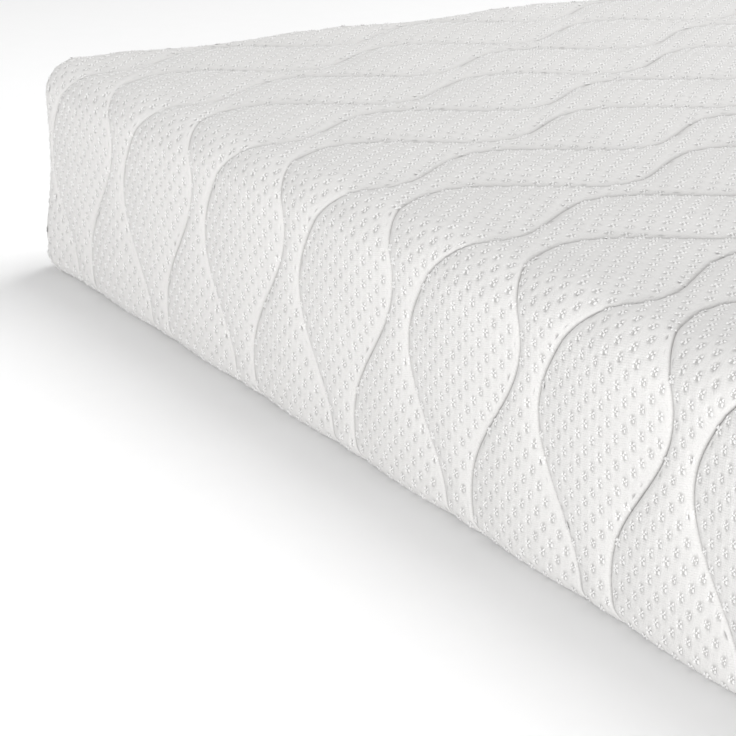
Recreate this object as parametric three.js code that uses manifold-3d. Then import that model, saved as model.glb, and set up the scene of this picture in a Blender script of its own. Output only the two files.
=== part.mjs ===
// Memory foam mattress with a quilted, zipped cover, as separate pieces.
// Millimetres, +Z up. The origin is on the floor, under the middle of the mattress.
// X runs across the width, Y along the length from the foot end (-Y) to the head end (+Y).

import * as THREE from 'three';
import Module from 'manifold-3d';
import { mergeVertices } from 'three/addons/utils/BufferGeometryUtils.js';

const wasm = await Module();
wasm.setup();

// ---- driving dimensions ----

const WIDTH = 900;
const LENGTH = 2000;
const HEIGHT = 150;
const CORNER_R = 36; // upright corners, seen from above
const EDGE_R = 22; // top and bottom edges
const CORNER_STEPS = 6;
const EDGE_STEPS = 4;
const GAP = 0.3; // between pieces that touch

// cover layers, each measured inwards
const KNIT_T = 2;
const WADDING_T = 6;
const BACKING_T = 1;
const WADDING_STOP = 4; // wadding and backing stop this far below the top of the bottom rounding

// underside
const HEM_W = 30;
const BASE_T = 2.5;
const BINDING_T = 1;
const BINDING_W = 12;

// zip, along both long sides and the head end
const ZIP_Z = 36;
const ZIP_CHANNEL_W = 12;
const FOOT_RETURN = 60; // the zip starts this far from the foot end
const TAPE_T = 0.8;
const TAPE_W = 11;
const ZIP_SLOT = 1.6; // between the two halves, where the slider's neck runs
const COIL_T = 1.7;
const COIL_W = 1.8;
const STOP_L = 3;
const STOP_T = 1.3;
const STOP_FROM_END = 12;
const END_TAB_L = 10;
const END_TAB_T = 1;

// slider and pull
const SLIDER_FROM_END = 30;
const SLIDER_L = 13;
const SLIDER_W = 9.6;
const SLIDER_FRONT_T = 1.5;
const SLIDER_BACK_T = 1.2;
const SLIDER_CLEARANCE = 0.7; // front plate to coil
const BACK_CLEARANCE = 0.5; // back plate to tape
const RAIL_W = 1.1;
const RAIL_TAPE_GAP = 0.4;
const NECK_W = 1;
const NECK_L = 4;
const CROWN_L = 7;
const CROWN_W = 2.4;
const CROWN_H = 3;
const CROWN_BAR = 1;
const PULL_L = 22;
const PULL_W = 6;
const PULL_T = 1.2;
const PULL_BAR = 1.2;
const PULL_HOLE_L = 4.5;
const PULL_HOLE_W = 3.2;

// core
const SLEEVE_T = 1.2;
const SLIDER_ROOM = 0.4; // sleeve to the slider's back plate
const BASE_ROOM = 0.4; // sleeve to the binding
const MEMORY_T = 50;
const TRANSITION_T = 30;
const MOUTH_H = 60;
const MOUTH_SIDE = 80; // mouth's end to the side of the mattress
const FLAP_LAP = 12;
const FLAP_T = 0.8;

// small pieces sewn inside the cover
const SEAM_TAPE_W = 30;
const SEAM_TAPE_T = 0.8;
const LABEL_L = 60;
const LABEL_H = 45;
const LABEL_T = 0.6;
const LABEL_Y = 500;

// ---- places that follow from them ----

const FAR = 10 * LENGTH;
const WADDING_FOOT = EDGE_R - WADDING_STOP;
const WADDING_IN = KNIT_T + GAP;
const BACKING_IN = WADDING_IN + WADDING_T + GAP;
const LINING_IN = BACKING_IN + BACKING_T + GAP; // what is sewn to the cover's inside
const BACK_PLATE_IN = BACKING_IN + TAPE_T + BACK_CLEARANCE;
const SLEEVE_IN = BACK_PLATE_IN + SLIDER_BACK_T + SLIDER_ROOM;
const FOAM_IN = SLEEVE_IN + SLEEVE_T + GAP;
const COIL_IN = BACKING_IN - GAP - COIL_T;
const FRONT_PLATE_IN = COIL_IN - SLIDER_CLEARANCE - SLIDER_FRONT_T;
const BINDING_Z = BASE_T + GAP;
const SLEEVE_Z = BINDING_Z + BINDING_T + BASE_ROOM;
const FOAM_Z = SLEEVE_Z + SLEEVE_T + GAP;
const FOAM_TOP = HEIGHT - FOAM_IN;
const ZIP_LOW = ZIP_Z - ZIP_CHANNEL_W / 2;
const ZIP_HIGH = ZIP_Z + ZIP_CHANNEL_W / 2;
const ZIP_Y = -LENGTH / 2 + FOOT_RETURN;
const SLIDER_Y = ZIP_Y + SLIDER_FROM_END;
const TAPE_TOP = ZIP_Z + ZIP_SLOT / 2 + TAPE_W;
const LINING_LOW = TAPE_TOP + GAP;

// ---- solids ----

function toSolid(geometry) {
  geometry.deleteAttribute('normal');
  geometry.deleteAttribute('uv');
  const welded = mergeVertices(geometry);
  return new wasm.Manifold(new wasm.Mesh({
    numProp: 3,
    vertProperties: new Float32Array(welded.attributes.position.array),
    triVerts: new Uint32Array(welded.index.array),
  }));
}

function toGeometry(solid) {
  const mesh = solid.getMesh();
  const geometry = new THREE.BufferGeometry();
  geometry.setAttribute('position', new THREE.BufferAttribute(mesh.vertProperties, 3));
  geometry.setIndex(new THREE.BufferAttribute(mesh.triVerts, 1));
  geometry.computeVertexNormals();
  return geometry;
}

function roundedRectangle(width, length, radius) {
  const x = width / 2;
  const y = length / 2;
  const shape = new THREE.Shape();
  shape.moveTo(x, y - radius);
  shape.absarc(x - radius, y - radius, radius, 0, Math.PI / 2);
  shape.absarc(-x + radius, y - radius, radius, Math.PI / 2, Math.PI);
  shape.absarc(-x + radius, -y + radius, radius, Math.PI, 1.5 * Math.PI);
  shape.absarc(x - radius, -y + radius, radius, 1.5 * Math.PI, 2 * Math.PI);
  return shape;
}

// A slab with all its edges rounded, its sides `inset` inside the mattress's own.
function slab(inset, low = inset, high = HEIGHT - inset) {
  const edge = EDGE_R - inset;
  const shape = roundedRectangle(WIDTH - 2 * EDGE_R, LENGTH - 2 * EDGE_R, CORNER_R - EDGE_R);
  const geometry = new THREE.ExtrudeGeometry(shape, {
    depth: high - low - 2 * edge,
    curveSegments: CORNER_STEPS,
    bevelSize: edge,
    bevelThickness: edge,
    bevelSegments: EDGE_STEPS,
  });
  geometry.translate(0, 0, low + edge);
  return toSolid(geometry);
}

// A flat plate with rounded corners, its sides `inset` inside the mattress's own.
function plate(inset, low, high) {
  const radius = Math.max(CORNER_R - inset, CORNER_R / 6);
  const shape = roundedRectangle(WIDTH - 2 * inset, LENGTH - 2 * inset, radius);
  const geometry = new THREE.ExtrudeGeometry(shape, {
    depth: high - low,
    curveSegments: CORNER_STEPS,
    bevelEnabled: false,
  });
  geometry.translate(0, 0, low);
  return toSolid(geometry);
}

function block([x0, x1], [y0, y1], [z0, z1]) {
  const geometry = new THREE.BoxGeometry(x1 - x0, y1 - y0, z1 - z0);
  geometry.translate((x0 + x1) / 2, (y0 + y1) / 2, (z0 + z1) / 2);
  return toSolid(geometry);
}

// A wrap of even thickness that follows the slab's sides, top and underside.
function wrap(inset, thickness) {
  return slab(inset).subtract(slab(inset + thickness));
}

// The part of a solid beside the zip, on three sides, between two heights.
function besideZip(solid, low, high) {
  return solid.intersect(block([-FAR, FAR], [ZIP_Y + GAP, FAR], [low, high]));
}

// A solid without its lower part on the three zipped sides and, at the foot end, below `foot`.
function aboveZip(solid, low, foot) {
  const belowZip = block([-FAR, FAR], [ZIP_Y, FAR], [-FAR, low]);
  const belowFoot = block([-FAR, FAR], [-FAR, FAR], [-FAR, foot]);
  return solid.subtract(belowZip).subtract(belowFoot);
}

// A block against the right-hand side (side = 1) or the left-hand side (side = -1),
// from one depth to another, measured inwards from the mattress's face.
function sideBlock(side, [outer, inner], ySpan, zSpan) {
  const faces = [side * (WIDTH / 2 - outer), side * (WIDTH / 2 - inner)].sort((a, b) => a - b);
  return block(faces, ySpan, zSpan);
}

function mirrorZ(span) {
  return [2 * ZIP_Z - span[1], 2 * ZIP_Z - span[0]];
}

// ---- materials and nodes ----

const FINISHES = {
  knit: { color: 0xebe9e4, roughness: 0.9, metalness: 0 },
  wadding: { color: 0xf6f5f2, roughness: 1, metalness: 0 },
  backing: { color: 0xe6e6e6, roughness: 0.95, metalness: 0 },
  base: { color: 0xd3d1cc, roughness: 0.92, metalness: 0 },
  tape: { color: 0xe8e6e1, roughness: 0.85, metalness: 0 },
  coil: { color: 0xeeeeec, roughness: 0.45, metalness: 0 },
  metal: { color: 0xb9babc, roughness: 0.32, metalness: 1 },
  sleeve: { color: 0xf2f1ed, roughness: 0.92, metalness: 0 },
  memory: { color: 0xf3efdf, roughness: 0.95, metalness: 0 },
  transition: { color: 0xdfe7ec, roughness: 0.95, metalness: 0 },
  support: { color: 0xf1ecd6, roughness: 0.96, metalness: 0 },
  label: { color: 0xf7f7f5, roughness: 0.6, metalness: 0 },
};

const mattress = new THREE.Group();
mattress.name = 'mattress';

function addPiece(name, finish, solid, group = mattress) {
  const mesh = new THREE.Mesh(toGeometry(solid), new THREE.MeshStandardMaterial(FINISHES[finish]));
  mesh.name = name;
  group.add(mesh);
}

// ---- cover ----

function addCover() {
  const knit = wrap(0, KNIT_T).subtract(plate(HEM_W, -GAP, KNIT_T + GAP));
  const wadding = wrap(WADDING_IN, WADDING_T);
  const backing = wrap(BACKING_IN, BACKING_T);
  addPiece('upper_cover_knit', 'knit', aboveZip(knit, ZIP_HIGH, -FAR));
  addPiece('upper_cover_wadding', 'wadding', aboveZip(wadding, ZIP_HIGH, WADDING_FOOT));
  addPiece('upper_cover_backing', 'backing', aboveZip(backing, LINING_LOW, WADDING_FOOT));
  addPiece('lower_band_knit', 'knit', besideZip(knit, -FAR, ZIP_LOW));
  addPiece('lower_band_wadding', 'wadding', besideZip(wadding, WADDING_FOOT, ZIP_LOW));
}

function addUnderside() {
  const seam = HEM_W - BINDING_W / 2;
  const ring = plate(seam, BINDING_Z, BINDING_Z + BINDING_T)
    .subtract(plate(seam + BINDING_W, BINDING_Z - GAP, BINDING_Z + BINDING_T + GAP));
  addPiece('base_fabric', 'base', plate(HEM_W + GAP, 0, BASE_T));
  addPiece('base_binding', 'tape', ring);
}

// Tapes that cover the upright seams at the cover's corners, on its inside.
function addSeamTapes() {
  const lining = wrap(LINING_IN, SEAM_TAPE_T);
  const zSpan = [LINING_LOW, HEIGHT - EDGE_R];
  const edgeX = WIDTH / 2 - LINING_IN - SEAM_TAPE_W;
  const edgeY = LENGTH / 2 - LINING_IN - SEAM_TAPE_W;
  for (const [end, ySpan] of [['foot', [-FAR, -edgeY]], ['head', [edgeY, FAR]]]) {
    for (const [side, xSpan] of [['left', [-FAR, -edgeX]], ['right', [edgeX, FAR]]]) {
      addPiece(`${end}_seam_tape_${side}`, 'tape', lining.intersect(block(xSpan, ySpan, zSpan)));
    }
  }
}

function addLabel() {
  const zSpan = [LINING_LOW, LINING_LOW + LABEL_H];
  const label = sideBlock(-1, [LINING_IN, LINING_IN + LABEL_T], [LABEL_Y, LABEL_Y + LABEL_L], zSpan);
  addPiece('care_label', 'label', label);
}

// ---- zip ----

function addZipTapes() {
  const tape = wrap(BACKING_IN, TAPE_T);
  const coil = wrap(COIL_IN, COIL_T);
  const lowTape = [ZIP_Z - ZIP_SLOT / 2 - TAPE_W, ZIP_Z - ZIP_SLOT / 2];
  const lowCoil = [ZIP_Z - ZIP_SLOT / 2 - COIL_W, ZIP_Z - ZIP_SLOT / 2];
  addPiece('zip_tape_lower', 'tape', besideZip(tape, ...lowTape));
  addPiece('zip_tape_upper', 'tape', besideZip(tape, ...mirrorZ(lowTape)));
  addPiece('zip_coil_lower', 'coil', besideZip(coil, ...lowCoil));
  addPiece('zip_coil_upper', 'coil', besideZip(coil, ...mirrorZ(lowCoil)));
}

function addZipEnds() {
  const stopIn = COIL_IN - GAP;
  const stopY = ZIP_Y + STOP_FROM_END;
  const stopZ = ZIP_SLOT / 2 + COIL_W;
  const tabZ = ZIP_CHANNEL_W / 2 - GAP;
  for (const [name, side] of [['left', -1], ['right', 1]]) {
    const stop = sideBlock(side, [stopIn - STOP_T, stopIn], [stopY, stopY + STOP_L],
      [ZIP_Z - stopZ, ZIP_Z + stopZ]);
    const tab = sideBlock(side, [WADDING_IN, WADDING_IN + END_TAB_T],
      [ZIP_Y + GAP, ZIP_Y + GAP + END_TAB_L], [ZIP_Z - tabZ, ZIP_Z + tabZ]);
    addPiece(`zip_stop_${name}`, 'metal', stop);
    addPiece(`zip_end_tab_${name}`, 'tape', tab);
  }
}

// ---- slider and pull ----

// A block on the slider: depths from the mattress's side face, the rest from the slider's centre.
function onSlider(depths, [y0, y1], halfWidth, z0 = -halfWidth) {
  return sideBlock(1, depths, [SLIDER_Y + y0, SLIDER_Y + y1], [ZIP_Z + z0, ZIP_Z + halfWidth]);
}

const CROWN_IN = FRONT_PLATE_IN - CROWN_H;
const PULL_AXIS_IN = FRONT_PLATE_IN - (CROWN_H - CROWN_BAR) / 2;

function sliderSolid() {
  const half = SLIDER_L / 2;
  const coilFace = FRONT_PLATE_IN + SLIDER_FRONT_T;
  const railIn = BACKING_IN - RAIL_TAPE_GAP;
  const opening = CROWN_L / 2 - CROWN_BAR;
  const front = onSlider([FRONT_PLATE_IN, coilFace], [-half, half], SLIDER_W / 2);
  const back = onSlider([BACK_PLATE_IN, BACK_PLATE_IN + SLIDER_BACK_T], [-half, half], SLIDER_W / 2);
  const neck = onSlider([coilFace - GAP, BACK_PLATE_IN + GAP], [-half, -half + NECK_L], NECK_W / 2);
  const upperRail = onSlider([coilFace - GAP, railIn], [-half, half], SLIDER_W / 2, SLIDER_W / 2 - RAIL_W);
  const lowerRail = onSlider([coilFace - GAP, railIn], [-half, half], RAIL_W - SLIDER_W / 2, -SLIDER_W / 2);
  const crown = onSlider([CROWN_IN, FRONT_PLATE_IN + GAP], [-CROWN_L / 2, CROWN_L / 2], CROWN_W / 2)
    .subtract(onSlider([CROWN_IN + CROWN_BAR, FRONT_PLATE_IN], [-opening, opening], CROWN_W));
  return front.add(back).add(neck).add(upperRail).add(lowerRail).add(crown);
}

// The pull lies flat along +Y at rest, its end bar inside the slider's crown.
function pullSolid() {
  const depths = [PULL_AXIS_IN - PULL_T / 2, PULL_AXIS_IN + PULL_T / 2];
  const through = [depths[0] - GAP, depths[1] + GAP];
  const holeStart = PULL_BAR / 2;
  const holeEnd = holeStart + PULL_HOLE_L;
  const tab = onSlider(depths, [-PULL_BAR / 2, PULL_L], PULL_W / 2);
  return tab.subtract(onSlider(through, [holeStart, holeEnd], PULL_HOLE_W / 2));
}

// ---- core ----

function addSleeve() {
  const outer = slab(SLEEVE_IN, SLEEVE_Z, HEIGHT - SLEEVE_IN);
  const inner = slab(SLEEVE_IN + SLEEVE_T, SLEEVE_Z + SLEEVE_T, HEIGHT - SLEEVE_IN - SLEEVE_T);
  const middle = HEIGHT / 2;
  const mouthX = WIDTH / 2 - MOUTH_SIDE;
  const face = LENGTH / 2 - SLEEVE_IN;
  const mouth = block([-mouthX, mouthX], [face - SLEEVE_T - GAP, face + GAP],
    [middle - MOUTH_H / 2, middle + MOUTH_H / 2]);
  const flap = block([-mouthX - FLAP_LAP, mouthX + FLAP_LAP], [face + GAP, face + GAP + FLAP_T],
    [middle - MOUTH_H / 2 + GAP, middle + MOUTH_H / 2 + FLAP_LAP]);
  addPiece('core_sleeve', 'sleeve', outer.subtract(inner).subtract(mouth));
  addPiece('sleeve_end_flap', 'sleeve', flap);
}

function addFoam() {
  const core = slab(FOAM_IN, FOAM_Z, FOAM_TOP);
  const memoryLow = FOAM_TOP - MEMORY_T;
  const transitionLow = memoryLow - GAP - TRANSITION_T;
  const layer = (low, high) => core.intersect(block([-FAR, FAR], [-FAR, FAR], [low, high]));
  addPiece('memory_foam', 'memory', layer(memoryLow, FAR));
  addPiece('transition_foam', 'transition', layer(transitionLow, memoryLow - GAP));
  addPiece('support_foam', 'support', layer(-FAR, transitionLow - GAP));
}

addCover();
addUnderside();
addSeamTapes();
addLabel();
addZipTapes();
addZipEnds();
addPiece('zip_slider', 'metal', sliderSolid());
addPiece('zip_pull', 'metal', pullSolid());
addSleeve();
addFoam();

export default mattress;
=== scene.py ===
# %% [markdown]
# # A memory foam mattress in a quilted knit cover
# A foam mattress looks plain from far away. Close up, its cover does all the work: a soft knit is
# sewn to wadding along wavy lines, so the cloth swells between the lines and sinks at the thread,
# and small knotted tufts cover it in a staggered pattern. This lesson builds that cover around a
# finished frame that already holds the foam, the zip and the slider at their real sizes.

# %% Load the frame
import math

import bmesh
import bpy
import numpy as np
from mathutils import Matrix, Vector


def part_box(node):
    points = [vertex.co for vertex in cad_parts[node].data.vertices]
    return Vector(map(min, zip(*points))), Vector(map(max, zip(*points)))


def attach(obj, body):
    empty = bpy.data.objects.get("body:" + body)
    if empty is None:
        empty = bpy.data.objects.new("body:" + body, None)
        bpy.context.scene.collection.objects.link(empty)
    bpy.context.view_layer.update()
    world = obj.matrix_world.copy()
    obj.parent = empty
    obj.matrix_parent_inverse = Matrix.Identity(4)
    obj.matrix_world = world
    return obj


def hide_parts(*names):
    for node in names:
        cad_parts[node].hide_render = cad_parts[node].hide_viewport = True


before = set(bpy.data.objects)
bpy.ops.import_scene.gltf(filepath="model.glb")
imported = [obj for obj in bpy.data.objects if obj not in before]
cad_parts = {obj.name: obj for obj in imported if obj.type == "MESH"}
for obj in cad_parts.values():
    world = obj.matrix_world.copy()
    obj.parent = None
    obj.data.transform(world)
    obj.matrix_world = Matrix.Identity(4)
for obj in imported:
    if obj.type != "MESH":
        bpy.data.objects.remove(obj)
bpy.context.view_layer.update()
MM = 0.001
print("frame loaded:", len(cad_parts), "nodes")

# %% [markdown]
# ## Sizes
# Everything is worked out from the frame's own box and a few workshop sizes: how tightly the edges
# are rounded, how far apart the stitch lines are and how far they swing.

# %% Sizes
WIDTH, LENGTH, HEIGHT = (float(b - a) for a, b in zip(*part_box("upper_cover_knit")))
CORNER_R = 30 * MM      # upright corners, seen from above
TOP_R = 22 * MM         # top edge
FOOT_R = 12 * MM        # bottom edge, where the cloth turns under
HEM = 30 * MM           # cloth under the mattress, from its side
EAR = 8 * MM            # the seam pushes the corners out near the floor
EAR_HEIGHT = 75 * MM
HALF_X = WIDTH / 2 - CORNER_R
HALF_Y = LENGTH / 2 - CORNER_R

LINE_PITCH = 119.6 * MM     # from one line to the next of its family
LINE_OFFSET = 61.7 * MM     # from a line of the first family to one of the second
LINE_SWING = 20.8 * MM      # to each side
LINE_WAVE = 174.2 * MM      # length of one wave
LINE_START = 44.4 * MM      # first line, from the left side
FIRST_PHASE = -0.02         # radians, where the first family's wave begins
SECOND_PHASE = 2.14         # radians between the two families

PUFF = 4.2 * MM         # height of a puff whose half width is PUFF_REF
PUFF_REF = 30 * MM
SINK = 2.2 * MM         # how far the thread pulls the cloth in
SINK_W = 1.6 * MM
PROUD = 1.0 * MM        # puffs stand this far out of the frame's box
CALM_HEIGHT = 34 * MM   # below this the mattress's weight presses the puffs flat, bit by bit
CALM_SHARE = 0.7        # how much of the swelling is gone at the floor
CALM_LEVEL = -1.0 * MM  # the depth it is pressed to
FLOOR_GAP = 0.3 * MM    # the hem's lowest puffs stay this far above the floor
ROUNDNESS = 0.72        # below 1 the puffs are full near their lines
print(f"mattress {WIDTH:.3f} x {LENGTH:.3f} x {HEIGHT:.3f} m")

# %% [markdown]
# ## Small helpers
# A shader is arithmetic. Wrapping a socket in a class with operators lets the materials below be
# written as plain expressions, and one method adds any other node.

# %% Shader helper
class Wire:
    """A shader socket that can be added, multiplied and compared."""

    def __init__(self, tree, socket):
        self.tree, self.socket = tree, socket

    def maths(self, operation, *values):
        node = self.tree.nodes.new("ShaderNodeMath")
        node.operation = operation
        for socket, value in zip(node.inputs, values):
            plug(self.tree, socket, value)
        return Wire(self.tree, node.outputs[0])

    def __rsub__(self, other):
        return self.maths("SUBTRACT", other, self)

    def clamp(self):
        return self.most(0.0).least(1.0)

    def step(self, low, high):
        """0 below low, 1 above high and smooth between them."""
        node = self.tree.nodes.new("ShaderNodeMapRange")
        node.interpolation_type = "SMOOTHSTEP"
        for name, value in (("Value", self), ("From Min", low), ("From Max", high)):
            plug(self.tree, node.inputs[name], value)
        return Wire(self.tree, node.outputs[0])


def add_method(name, operation):
    """Gives Wire one more method or operator, which makes one maths node."""
    setattr(Wire, name, lambda self, *others: self.maths(operation, self, *others))


for sign, operation in (("add", "ADD"), ("radd", "ADD"), ("sub", "SUBTRACT"), ("mul", "MULTIPLY"),
                        ("rmul", "MULTIPLY"), ("truediv", "DIVIDE"), ("pow", "POWER")):
    add_method(f"__{sign}__", operation)
for name, operation in (("sine", "SINE"), ("fraction", "FRACT"), ("root", "SQRT"), ("least", "MINIMUM"),
                        ("most", "MAXIMUM")):
    add_method(name, operation)


def plug(tree, socket, value):
    if isinstance(value, Wire):
        tree.links.new(value.socket, socket)
    else:
        socket.default_value = value


def add_node(tree, kind, settings=None, **inputs):
    """Any shader node: its settings first, then its sockets by name, with _ for a space."""
    node = tree.nodes.new(kind)
    for key, value in (settings or {}).items():
        setattr(node, key, value)
    for name, value in inputs.items():
        plug(tree, node.inputs[name.replace("_", " ")], value)
    return node


def out(node, name=0):
    return Wire(node.id_data, node.outputs[name])


class Nodes:
    """Anything with a node tree."""

    def node(self, kind, settings=None, **inputs):
        return add_node(self.tree, kind, settings, **inputs)

    def parts(self, vector):
        node = self.node("ShaderNodeSeparateXYZ", Vector=vector)
        return [out(node, axis) for axis in range(3)]


class Look(Nodes):
    """A material in the making."""

    def __init__(self, name):
        self.material = bpy.data.materials.new(name)
        self.material.use_nodes = True
        self.tree = self.material.node_tree
        self.tree.nodes.clear()

    def where(self):
        return out(self.node("ShaderNodeTexCoord"), "Object")

    def noise(self, where, scale, detail):
        return out(self.node("ShaderNodeTexNoise", Vector=where, Scale=scale, Detail=detail))

    def finish(self, shade, first, second, height=None, **inputs):
        """Mixes the two colours by the shade, with a bump in metres and the shader's other sockets."""
        mix = self.node("ShaderNodeMix", {"data_type": "RGBA"}, Factor=shade)
        for socket, colour in zip(mix.inputs[6:8], (first, second)):
            socket.default_value = (*colour, 1.0)
        if height is not None:
            inputs["Normal"] = out(self.node("ShaderNodeBump", Height=height, Distance=1.0))
        shader = self.node("ShaderNodeBsdfPrincipled", Base_Color=out(mix, 2), **inputs)
        self.node("ShaderNodeOutputMaterial", Surface=out(shader))
        return self.material


# %% Mesh helpers
def smooth(mesh):
    mesh.polygons.foreach_set("use_smooth", np.ones(len(mesh.polygons), bool))


def mesh_object(name, points, faces, material=None):
    mesh = bpy.data.meshes.new(name)
    faces = faces.tolist() if isinstance(faces, np.ndarray) else faces
    mesh.from_pydata(np.asarray(points).tolist(), [], faces)
    mesh.update()
    smooth(mesh)
    thing = bpy.data.objects.new(name, mesh)
    bpy.context.scene.collection.objects.link(thing)
    if material:
        mesh.materials.append(material)
    return thing


def store(mesh, name, values):
    """Keeps one number or one direction for every point of a mesh."""
    values = np.ascontiguousarray(values, dtype=float)
    kind, field = ("FLOAT_VECTOR", "vector") if values.ndim == 2 else ("FLOAT", "value")
    mesh.attributes.new(name, kind, "POINT").data.foreach_set(field, values.ravel())


def hand_over(thing, slot, *nodes):
    """Hides the frame's nodes that a piece stands for and hangs the piece on the mattress's body; slot is
    not used.
    """
    if nodes:
        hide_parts(*nodes)
    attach(thing, "mattress")


# %% [markdown]
# ## The wavy lines
# The stitch lines come from a machine that sews many rows at once. Two families of lines share one
# wave but are a third of a turn apart, so neighbours draw together and part again, and the cloth
# between them forms long leaves. `u` runs across the cloth, `v` along it; both are measured flat.

# %% Stitch lines
SIDE_DEPTH = CORNER_R - TOP_R + TOP_R * math.pi / 2 + HEIGHT - TOP_R   # down to the floor, flat
FAR = 9.0                   # metres, further than any line


def line_middle(index):
    """The middle of stitch line number `index`, across the cloth, without its swing."""
    return -WIDTH / 2 + LINE_START + (index // 2) * LINE_PITCH + (index % 2) * LINE_OFFSET


def line_place(index, v):
    """Where stitch line number `index` is, across the cloth, at `v` along it."""
    turn = 2 * math.pi * (v + HALF_Y + SIDE_DEPTH) / LINE_WAVE + FIRST_PHASE
    return line_middle(index) + LINE_SWING * np.cos(turn + (index % 2) * SECOND_PHASE)


def nearest_line(u, v):
    """Distance to the nearest line and half the room between the lines beside it, across the cloth."""
    guess = 2 * np.floor((u + WIDTH / 2 - LINE_START) / LINE_PITCH).astype(int)
    edge, below, above = (np.full(u.shape, value) for value in (1.0, -FAR, FAR))
    for shift in range(-3, 5):
        place = line_place(guess + shift, v)
        below = np.where(place <= u, np.maximum(below, place), below)
        above = np.where(place > u, np.minimum(above, place), above)
        edge = np.minimum(edge, np.abs(place - u))
    return edge, (above - below) / 2


# %% [markdown]
# ## The cover's form
# One sheet of quilted cloth lies on the top and folds down all four sides. The sheet is described
# by how far it has gone past the corner's centre line (`depth`): a short flat stretch, the rounded
# edge, the side, the tighter bottom edge and the hem under the mattress. At an upright corner two
# sides meet along a seam half way round the curve.

# %% Section of the edge
TINY = 1e-9
STRETCHES = [CORNER_R - TOP_R, TOP_R * math.pi / 2, HEIGHT - TOP_R - FOOT_R, FOOT_R * math.pi / 2,
             HEM - FOOT_R]
DEPTHS = np.cumsum([0, *STRETCHES])


def section(depth):
    """How far out, how high and how tilted the cloth is at a depth. Tilt is 0 on top, pi below."""
    flat, arc, side, foot, hem = (np.clip(depth - a, 0, b - a) for a, b in zip(DEPTHS, DEPTHS[1:]))
    turn, foot_turn = arc / TOP_R, foot / FOOT_R
    reach = flat + TOP_R * np.sin(turn) - FOOT_R * (1 - np.cos(foot_turn)) - hem
    height = HEIGHT - TOP_R * (1 - np.cos(turn)) - side - FOOT_R * np.sin(foot_turn)
    return reach, height, turn + foot_turn


def seam_reach(depth):
    """How far past the straight part a side goes, at a depth, before it meets the corner seam."""
    return section(depth)[0] * math.pi / 4


def on_side(along, depth, half):
    """Points and outward directions on a side that faces +b, as (a, b, z)."""
    reach, height, tilt = section(depth)
    past = np.clip(np.abs(along) - half, 0, None)
    swing = np.where(reach > TINY, past / np.maximum(reach, TINY), 0.0) * np.sign(along)
    ear = EAR * np.clip(1 - height / EAR_HEIGHT, 0, 1) ** 1.5 * np.sin(2 * np.abs(swing))
    ear = ear * np.clip(reach / CORNER_R, 0, 1) ** 4
    a = np.clip(along, -half, half) + (reach + ear) * np.sin(swing)
    point = np.stack([a, (reach + ear) * np.cos(swing), height], -1)
    facing = np.stack([np.sin(tilt) * np.sin(swing), np.sin(tilt) * np.cos(swing), np.cos(tilt)], -1)
    return point, facing


SIDES = {
    # name: (half its straight length, (x, y) from the way along it and the way out)
    "foot": (HALF_X, lambda a, b: (a, -HALF_Y - b)),
    "head": (HALF_X, lambda a, b: (a, HALF_Y + b)),
    "left": (HALF_Y, lambda a, b: (-HALF_X - b, a)),
    "right": (HALF_Y, lambda a, b: (HALF_X + b, a)),
}


def to_world(name, along, depth):
    """World points, outward directions and flat cloth coordinates on one side."""
    half, place = SIDES[name]
    point, facing = on_side(along, depth, half)
    x, y = place(point[..., 0], point[..., 1])
    x0, y0 = place(0.0, 0.0)
    fx, fy = place(facing[..., 0], facing[..., 1])
    u, v = (np.broadcast_to(flat, x.shape) for flat in place(along, depth))
    return np.stack([x, y, point[..., 2]], -1), np.stack([fx - x0, fy - y0, facing[..., 2]], -1), u, v


# %% Columns that follow the stitch lines
NEAR = np.array([0.9, 2.6, 6.5]) * MM            # columns beside a line,
NEAR_SHARE = 0.26                                # which keep to this share of a narrow puff
MIDDLE = np.array([0.28, 0.42, 0.58, 0.72])      # columns across a puff, as shares of its width
PINCH = 0.08 * MM                                # columns pushed against a border stay this far apart
COLUMN_RULES = [("line", 0.0), *(("after", n) for n in NEAR), *(("across", m) for m in MIDDLE),
                *(("before", n) for n in NEAR[::-1])]


def column_count(first, last):
    return (last - first) * len(COLUMN_RULES) + 1


def column_places(first, last, v):
    """Places of all columns from line `first` to line `last`. v has a row for each row of the mesh
    and one column, or as many columns as the result."""
    v = np.broadcast_to(v, (v.shape[0], column_count(first, last)))
    places = []
    for index in range(first, last):
        for rule, value in COLUMN_RULES:
            row = v[:, len(places)]
            here = line_place(index, row)
            room = line_place(index + 1, row) - here
            near = np.minimum(value, room * NEAR_SHARE * value / NEAR[-1])
            places.append({"line": here, "after": here + near, "across": here + value * room,
                           "before": here + room - near}[rule])
    places.append(line_place(last, v[:, len(places)]))
    return np.stack(places, 1)


def keep_between(places, low, high):
    """Pushes columns back between two borders, in order, with the outer columns on them."""
    steps = np.arange(places.shape[1]) * PINCH
    places = np.maximum(places, low + steps)
    places = np.minimum(places, high - steps[::-1])
    places[:, 0], places[:, -1] = low[:, 0], high[:, 0]
    return places


ROW = 9 * MM                # from one row of the mesh to the next, along the cloth
top_rows = np.linspace(-HALF_Y, HALF_Y, int(round(2 * HALF_Y / ROW)) + 1)


def lines_across(u0, u1):
    """The last line that stays below u0 and the first that stays above u1."""
    lines = range(-9, 40)
    first = max(i for i in lines if line_middle(i) + LINE_SWING <= u0)
    last = min(i for i in lines if line_middle(i) - LINE_SWING >= u1)
    return first, last


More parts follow.
